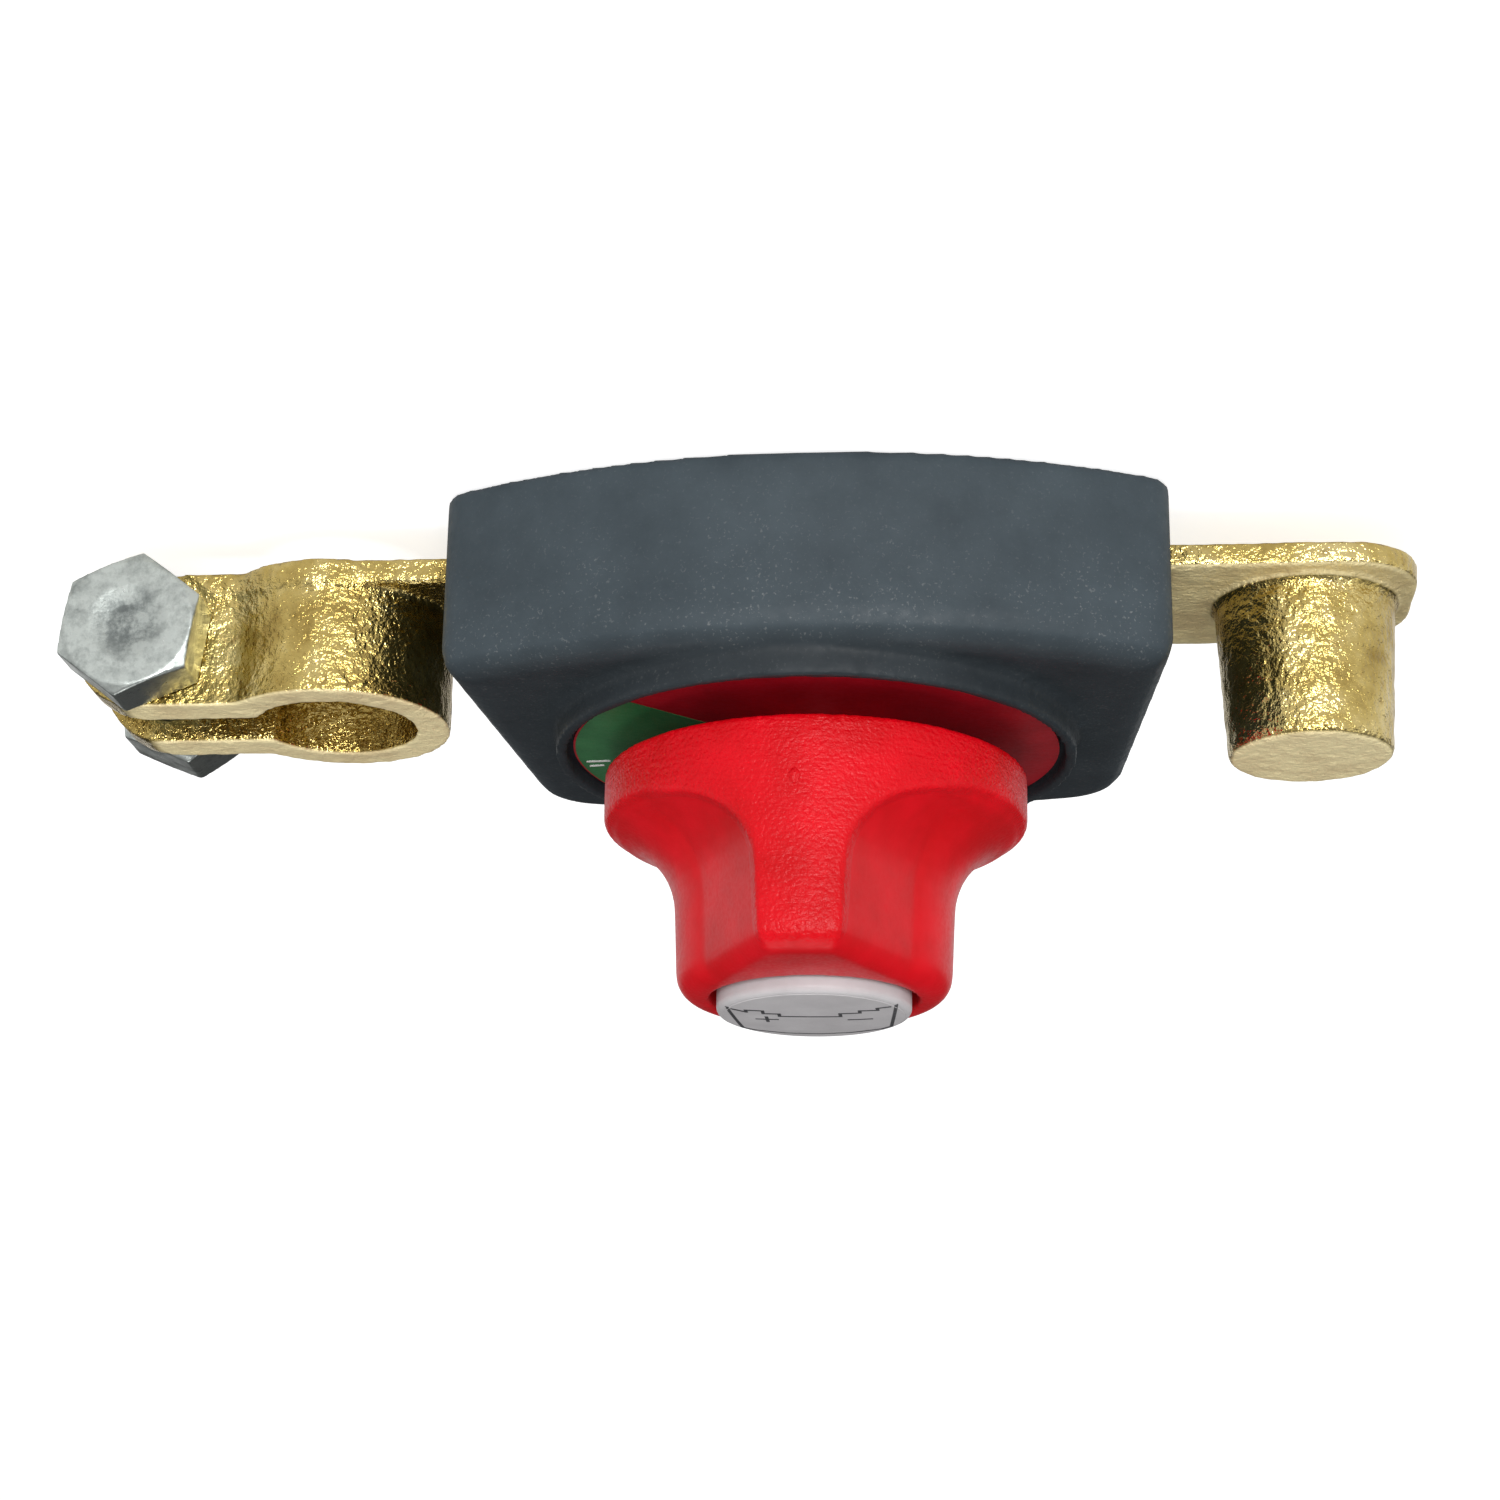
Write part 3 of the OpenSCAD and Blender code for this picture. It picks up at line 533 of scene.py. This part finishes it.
# the bolt head's end gets a painted dark reflection in its middle
boltZinc = makeZinc("boltZinc", {
    "x": boltX,
    "z": boltZ,
    "y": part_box("clamp_bolt")[0].y,
    "radius": 0.0042,
    "depths": (0.0005, 0.0009),
})
springSteel = makePlainMetal("springSteel", (0.40, 0.41, 0.43), (0.58, 0.59, 0.61), 0.3)
silverPlate = makePlainMetal("silverPlate", (0.72, 0.71, 0.68), (0.88, 0.87, 0.84), 0.28)
bridgeCopper = makePlainMetal("bridgeCopper", (0.62, 0.30, 0.17), (0.80, 0.44, 0.29), 0.32)
whitePlastic = makePlainPlastic("whitePlastic", (0.66, 0.64, 0.57), (0.76, 0.74, 0.67), 0.42)
coverPlastic = makePlainPlastic("coverPlastic", (0.022, 0.023, 0.026), (0.034, 0.035, 0.04), 0.5)
sealRubber = makePlainPlastic("sealRubber", (0.014, 0.014, 0.015), (0.026, 0.026, 0.028), 0.62)
markInk = makePlainPlastic("markInk", (0.045, 0.045, 0.05), (0.075, 0.075, 0.08), 0.5)
markWhite = makePlainPlastic("markWhite", (0.72, 0.72, 0.70), (0.82, 0.82, 0.80), 0.4)

nodeSurfaces = {
    "housing": housingPlastic,
    "dial_plate": dialRed,
    "shaft_bushing": whitePlastic,
    "shaft_seal": sealRubber,
    "base_gasket": sealRubber,
    "base_cover": coverPlastic,
    "cover_screw_1": zincSteel,
    "cover_screw_2": zincSteel,
    "cover_screw_3": zincSteel,
    "cover_screw_4": zincSteel,
    "clamp_terminal": clampBrass,
    "post_terminal": postBrass,
    "clamp_contact": silverPlate,
    "post_contact": silverPlate,
    "clamp_bar_screw": zincSteel,
    "post_bar_screw": zincSteel,
    "detent_spring": springSteel,
    "spindle": springSteel,
    "bridge_carrier": whitePlastic,
    "contact_spring": springSteel,
    "contact_bridge": bridgeCopper,
    "retaining_clip": springSteel,
    "knob": knobRed,
    "knob_screw": zincSteel,
    "knob_cap": capGrey,
    "clamp_bolt": boltZinc,
    "clamp_nut": zincSteel,
}
for nodeName, surface in nodeSurfaces.items():
    give(nodes[nodeName], surface)
print("materials given to", len(nodeSurfaces), "nodes")


# moulded and cast bodies with soft edges, made from copies of the nodes

def copyNode(nodeName, name):
    makeActive(nodes[nodeName])
    bpy.ops.object.duplicate()
    piece = takeNew(name)
    bpy.ops.object.parent_clear(type="CLEAR_KEEP_TRANSFORM")
    settle(piece)
    for key in [key for key in piece.keys() if key.startswith("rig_")]:
        del piece[key]
    tidyMesh(piece, merge=2e-6)
    return piece


def soften(piece, voxel, rounds, lumps=0.0, lumpSize=2.0, lumpDepth=2):
    remesh = piece.modifiers.new("oneSkin", "REMESH")
    remesh.mode = "VOXEL"
    remesh.voxel_size = voxel * mm
    remesh.use_smooth_shade = True
    smooth = piece.modifiers.new("softEdges", "SMOOTH")
    smooth.factor = 0.5
    smooth.iterations = rounds
    if lumps:
        cast = bpy.data.textures.new(piece.name + "Lumps", "CLOUDS")
        cast.noise_scale = lumpSize * mm
        cast.noise_depth = lumpDepth
        push = piece.modifiers.new("castSkin", "DISPLACE")
        push.texture = cast
        push.texture_coords = "LOCAL"
        push.strength = lumps * mm
        push.mid_level = 0.76       # most of the skin lies just inside the casting's faces
    applyAll(piece)
    bpy.ops.object.shade_smooth()
    print(piece.name, "has", sum(len(face.vertices) - 2 for face in piece.data.polygons), "triangles")


gripSettings = {
    "voxel": 0.31,
    "rounds": 5,
    "gatePlace": (0.5, 29.2),       # along X and up, on the outer cylinder
    "gateSize": (0.62, 0.24, 0.9),
    "gateSunk": 0.12,
}


def makeKnobGrip():
    piece = copyNode("knob", "knobGrip")
    soften(piece, gripSettings["voxel"], gripSettings["rounds"])
    give(piece, knobRed)
    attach(piece, "rotor")
    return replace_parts(piece, "knob")


def makeGateMark():
    across, high = (value * mm for value in gripSettings["gatePlace"])
    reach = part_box("knob")[1].x
    deselectAll()
    bpy.ops.mesh.primitive_ico_sphere_add(subdivisions=4, radius=1.0)
    piece = takeNew("gateMark")
    bpy.ops.object.mode_set(mode="EDIT")
    bpy.ops.mesh.select_all(action="SELECT")
    bpy.ops.transform.vertex_random(offset=0.18, uniform=0.2, normal=0.8, seed=7)
    bpy.ops.mesh.vertices_smooth(factor=0.5, repeat=1)
    leaveEdit()
    piece.scale = tuple(value * mm for value in gripSettings["gateSize"])
    piece.location = (across, -reach + gripSettings["gateSunk"] * mm, high)
    settle(piece)
    bpy.ops.object.shade_smooth()
    give(piece, knobRed)
    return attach(piece, "rotor")


terminalSettings = {
    "clamp": {"voxel": 0.32, "rounds": 5, "lumps": 0.20, "lumpSize": 1.7, "surface": clampBrass},
    "post": {"voxel": 0.34, "rounds": 5, "lumps": 0.20, "lumpSize": 1.7, "surface": postBrass},
}


def makeTerminal(side):
    values = terminalSettings[side]
    nodeName = side + "_terminal"
    piece = copyNode(nodeName, side + "Casting")
    soften(piece, values["voxel"], values["rounds"], values["lumps"], values["lumpSize"])
    give(piece, values["surface"])
    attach(piece, "case")
    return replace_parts(piece, nodeName)


shellSettings = {"voxel": 0.46, "rounds": 2}


def makeHousingShell():
    piece = copyNode("housing", "housingShell")
    soften(piece, shellSettings["voxel"], shellSettings["rounds"])
    give(piece, housingPlastic)
    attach(piece, "case")
    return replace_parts(piece, "housing")


makeKnobGrip()
makeGateMark()
makeTerminal("clamp")
makeTerminal("post")
makeHousingShell()
print("moulded and cast bodies made")


# clamp bolt with its thread

boltSettings = {
    "core": 3.42,
    "major": 3.98,
    "pitch": 1.25,
    "from": -5.6,       # along the bolt, from the middle of the slot
    "runOut": 0.3,      # the shank is turned down this much before the thread
    "bareEnd": 0.6,     # and the thread stops this far from the end
    "sunk": 0.1,        # the foot of the thread lies this far inside the core
    "rootHalf": 0.56,   # half the foot's width as a share of the pitch
    "threadSteps": 40,
    "voxel": 0.17,
    "rounds": 2,
}


def makeClampNut():
    piece = copyNode("clamp_nut", "clampNut")
    soften(piece, boltSettings["voxel"], boltSettings["rounds"])
    give(piece, zincSteel)
    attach(piece, "nut")
    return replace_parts(piece, "clamp_nut")


def makeClampBolt():
    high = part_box("clamp_bolt")[1]
    core, major = boltSettings["core"] * mm, boltSettings["major"] * mm
    piece = copyNode("clamp_bolt", "clampBolt")
    for vert in piece.data.vertices:
        out = math.hypot(vert.co.x - boltX, vert.co.z - boltZ)
        if vert.co.y > boltSettings["from"] * mm - boltSettings["runOut"] * mm and out > core:
            vert.co.x = boltX + (vert.co.x - boltX) * core / out
            vert.co.z = boltZ + (vert.co.z - boltZ) * core / out
    soften(piece, boltSettings["voxel"], boltSettings["rounds"])

    # the section of the thread, swept round and along the bolt
    pitch = boltSettings["pitch"] * mm
    start = boltSettings["from"] * mm
    turns = int((high.y - boltSettings["bareEnd"] * mm - start) / pitch)
    deselectAll()
    bpy.ops.mesh.primitive_circle_add(vertices=3, radius=1.0, fill_type="NGON")
    thread = takeNew("boltThread")
    root, half = core - boltSettings["sunk"] * mm, boltSettings["rootHalf"] * pitch
    corners = ((root, -half), (root, half), (major, 0.0))
    for vert, (radius, along) in zip(thread.data.vertices, corners):
        vert.co = (radius, along, 0.0)
    sweep = thread.modifiers.new("helix", "SCREW")
    sweep.axis = "Y"
    sweep.screw_offset = pitch
    sweep.iterations = turns
    sweep.steps = boltSettings["threadSteps"]
    sweep.render_steps = boltSettings["threadSteps"]
    sweep.use_smooth_shade = True
    sweep.use_merge_vertices = False
    applyAll(thread)
    tidyMesh(thread, merge=1e-7)
    thread.location = (boltX, start, boltZ)
    settle(thread)
    give(thread, zincSteel)
    give(piece, boltZinc)
    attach(thread, "bolt")
    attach(piece, "bolt")
    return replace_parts(piece, "clamp_bolt")


makeClampBolt()
makeClampNut()
print("clamp bolt and nut made")


# printed quarter and marks on the dial

dialSettings = {
    "from": -44.0,      # degrees from the clamp's side
    "to": 46.0,
    "inner": 10.5,
    "outer": 23.6,
    "thick": 0.04,
    "markAngle": 4.0,
    "markLong": (20.6, 23.0),
    "markShort": (21.5, 23.0),
    "markWide": 0.42,
    "markHigh": 0.05,
    "markRaised": 0.01,
    "markBevel": 0.12,
    "markGap": 3.4,     # degrees between the two marks
    "sunk": 0.02,       # the print starts this far inside the disc
}


def makeDialQuarter():
    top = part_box("dial_plate")[1].z
    start = math.radians(dialSettings["from"])
    turn = math.radians(dialSettings["to"] - dialSettings["from"])
    deselectAll()
    bpy.ops.mesh.primitive_plane_add(size=1.0, location=(0, 0, 0))
    piece = takeNew("dialQuarter")
    inner, outer = dialSettings["inner"] * mm, dialSettings["outer"] * mm
    corners = ((inner, 0), (outer, 0), (inner, 1), (outer, 1))
    for vert, (radius, high) in zip(piece.data.vertices, corners):
        z = top - dialSettings["sunk"] * mm + high * (dialSettings["thick"] + dialSettings["sunk"]) * mm
        vert.co = (radius * math.cos(start), radius * math.sin(start), z)
    editFaces(piece, lambda face: True)
    bpy.ops.mesh.spin(steps=48, angle=-turn, center=(0, 0, 0), axis=(0, 0, 1), dupli=False)
    bpy.ops.mesh.select_all(action="SELECT")
    bpy.ops.mesh.remove_doubles(threshold=1e-6)
    bpy.ops.mesh.normals_make_consistent(inside=False)
    leaveEdit()
    give(piece, dialGreen)
    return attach(piece, "case")


def makeDialMark(name, angle, reach):
    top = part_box("dial_plate")[1].z + dialSettings["thick"] * mm
    length = reach[1] - reach[0]
    deselectAll()
    bpy.ops.mesh.primitive_cube_add(size=1.0, location=(((reach[0] + reach[1]) / 2) * mm, 0, 0))
    piece = takeNew(name)
    piece.scale = (length * mm, dialSettings["markWide"] * mm, dialSettings["markHigh"] * mm)
    settle(piece)
    editFaces(piece, lambda face: abs(face.normal.x) > 0.9)
    bpy.ops.mesh.bevel(offset=dialSettings["markBevel"] * mm, segments=3, affect="EDGES")
    bpy.ops.mesh.select_all(action="SELECT")
    bpy.ops.transform.translate(value=(0, 0, top + dialSettings["markRaised"] * mm))
    bpy.ops.transform.rotate(value=-math.radians(angle), orient_axis="Z", center_override=(0, 0, 0))
    leaveEdit()
    give(piece, markWhite)
    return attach(piece, "case")


makeDialQuarter()
makeDialMark("dialMarkLong", dialSettings["markAngle"], dialSettings["markLong"])
secondAngle = dialSettings["markAngle"] + dialSettings["markGap"]
makeDialMark("dialMarkShort", secondAngle, dialSettings["markShort"])
print("dial printed")


# battery sign on the cap

signSettings = {
    "line": 0.34,
    "raised": 0.02,
    "step": 0.5,        # length of one face along a bar
    "above": 60,        # height from which the bars are dropped on the cap
    "outline": ((7.2, 4.3), (8.0, -3.6), (6.3, -2.4), (6.3, -3.1), (4.7, -3.0), (4.7, -2.0), (3.2, -2.0),
                (3.2, -1.1), (-2.6, -0.9), (-2.6, -2.0), (-4.5, -2.0), (-4.5, -2.8), (-6.2, -2.7),
                (-6.2, -3.4), (-8.0, -3.8), (-7.2, 4.3), (-6.2, 5.3), (-3.2, 6.5), (0, 6.9), (3.2, 6.5),
                (6.2, 5.3)),
    "plus": (4.5, 0.2, 1.9),
    "minus": (-4.4, 0.5, 2.1),
}


def signBar(start, end):
    wide = signSettings["line"]
    run = Vector((end[0] - start[0], end[1] - start[1], 0))
    deselectAll()
    cuts = max(3, int(run.length / signSettings["step"]))
    bpy.ops.mesh.primitive_grid_add(x_subdivisions=cuts, y_subdivisions=2, size=1.0)
    piece = takeNew("signBar")
    piece.scale = ((run.length + wide) * mm, wide * mm, 1)
    piece.rotation_euler = (0, 0, math.atan2(run.y, run.x))
    across, along = (start[0] + end[0]) / 2, (start[1] + end[1]) / 2
    piece.location = (across * mm, along * mm, signSettings["above"] * mm)
    settle(piece)
    return piece


def makeCapSign():
    bars = []
    points = signSettings["outline"]
    for index, point in enumerate(points):
        bars.append(signBar(point, points[(index + 1) % len(points)]))
    x, y, size = signSettings["plus"]
    bars.append(signBar((x - size / 2, y), (x + size / 2, y)))
    bars.append(signBar((x, y - size / 2), (x, y + size / 2)))
    x, y, size = signSettings["minus"]
    bars.append(signBar((x - size / 2, y), (x + size / 2, y)))
    piece = joinPieces("capSign", bars)
    wrap = piece.modifiers.new("onCap", "SHRINKWRAP")
    wrap.wrap_method = "PROJECT"
    wrap.use_project_z = True
    wrap.use_negative_direction = True
    wrap.use_positive_direction = False
    wrap.target = nodes["knob_cap"]
    applyAll(piece)
    wall = piece.modifiers.new("print", "SOLIDIFY")
    wall.thickness = signSettings["raised"] * mm
    wall.offset = 0.6
    applyAll(piece)
    tidyMesh(piece)
    give(piece, markInk)
    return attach(piece, "rotor")


makeCapSign()
print("cap sign printed")


# floor, world and lamps

studio = {
    "diffuse": {"horizon": 0.90, "zenith": 0.25, "front": 1.0, "back": 0.65, "turn": (-0.35, 0.45)},
    "glossy": {"horizon": 0.75, "zenith": 0.12, "front": 1.0, "back": 0.12, "turn": (0.02, 0.60)},
    "aim": (0, 0, 0.02),
    "floorSize": 12.0,
    "floorDrop": 0.00005,
    "floorColour": (0.86, 0.86, 0.86),
    "floorGlow": 0.70,
    "mirroredGlow": 0.25,
    "key": {"place": (-0.15, -1.00, 0.16), "size": (0.4, 0.3), "power": 6.4},
    "left": {"place": (0.95, -0.30, 0.30), "size": (0.25, 0.6), "power": 0.35},
    "right": {"place": (-0.90, -0.45, 0.25), "size": (0.25, 0.6), "power": 0.5},
    "top": {"place": (0.05, 0.10, 1.0), "size": (0.6, 0.6), "power": 2.4},
}


def seenDirectly(surface, path):
    return mathNode(surface, "MAXIMUM", path.outputs["Is Camera Ray"], path.outputs["Is Transmission Ray"])


def floorGlow(surface):
    path = addNode(surface, "ShaderNodeLightPath")
    seen = seenDirectly(surface, path)
    bright = times(surface, seen, studio["floorGlow"])
    mirrored = times(surface, path.outputs["Is Glossy Ray"], studio["mirroredGlow"])
    return mathNode(surface, "ADD", bright, mirrored)


def makeFloor():
    deselectAll()
    bpy.ops.mesh.primitive_plane_add(size=studio["floorSize"], location=(0, 0, -studio["floorDrop"]))
    floor = takeNew("studioFloor")
    settle(floor)
    surface = bpy.data.materials.new("studioFloorWhite")
    surface.use_nodes = True
    shader = surface.node_tree.nodes["Principled BSDF"]
    shader.inputs["Base Color"].default_value = (*studio["floorColour"], 1)
    shader.inputs["Roughness"].default_value = 1.0
    shader.inputs["Specular IOR Level"].default_value = 0.0
    shader.inputs["Emission Color"].default_value = (1, 1, 1, 1)
    join(surface, floorGlow(surface), shader.inputs["Emission Strength"])
    give(floor, surface)


def skyLevel(world, direction, values):
    height = span(world, axisOf(world, direction, 2), values["horizon"], values["zenith"], 0.0, 1.0)
    depth = span(world, axisOf(world, direction, 1), values["front"], values["back"], *values["turn"])
    return times(world, height, depth)


def makeWorld():
    world = bpy.data.worlds.new("studioWorld")
    bpy.context.scene.world = world
    world.use_nodes = True
    background = world.node_tree.nodes["Background"]
    background.inputs["Color"].default_value = (1, 1, 1, 1)
    direction = addNode(world, "ShaderNodeTexCoord").outputs["Generated"]
    path = addNode(world, "ShaderNodeLightPath")
    soft = skyLevel(world, direction, studio["diffuse"])
    mirrored = skyLevel(world, direction, studio["glossy"])
    change = times(world, mathNode(world, "SUBTRACT", mirrored, soft), path.outputs["Is Glossy Ray"])
    sky = mathNode(world, "ADD", soft, change)
    seen = seenDirectly(world, path)
    hidden = mathNode(world, "SUBTRACT", 1.0, seen)
    level = mathNode(world, "ADD", times(world, sky, hidden), seen)
    join(world, level, background.inputs["Strength"])


def addLamp(name):
    values = studio[name]
    bpy.ops.object.light_add(type="AREA", location=values["place"])
    lamp = bpy.context.object
    lamp.name = name + "Lamp"
    lamp.data.shape = "RECTANGLE"
    lamp.data.size, lamp.data.size_y = values["size"]
    lamp.data.energy = values["power"]
    aim = Vector(studio["aim"]) - Vector(values["place"])
    lamp.rotation_euler = aim.to_track_quat("-Z", "Y").to_euler()


makeFloor()
makeWorld()
for lampName in ("key", "left", "right", "top"):
    addLamp(lampName)
bpy.context.scene.view_settings.view_transform = "Standard"
print("studio set")

deselectAll()
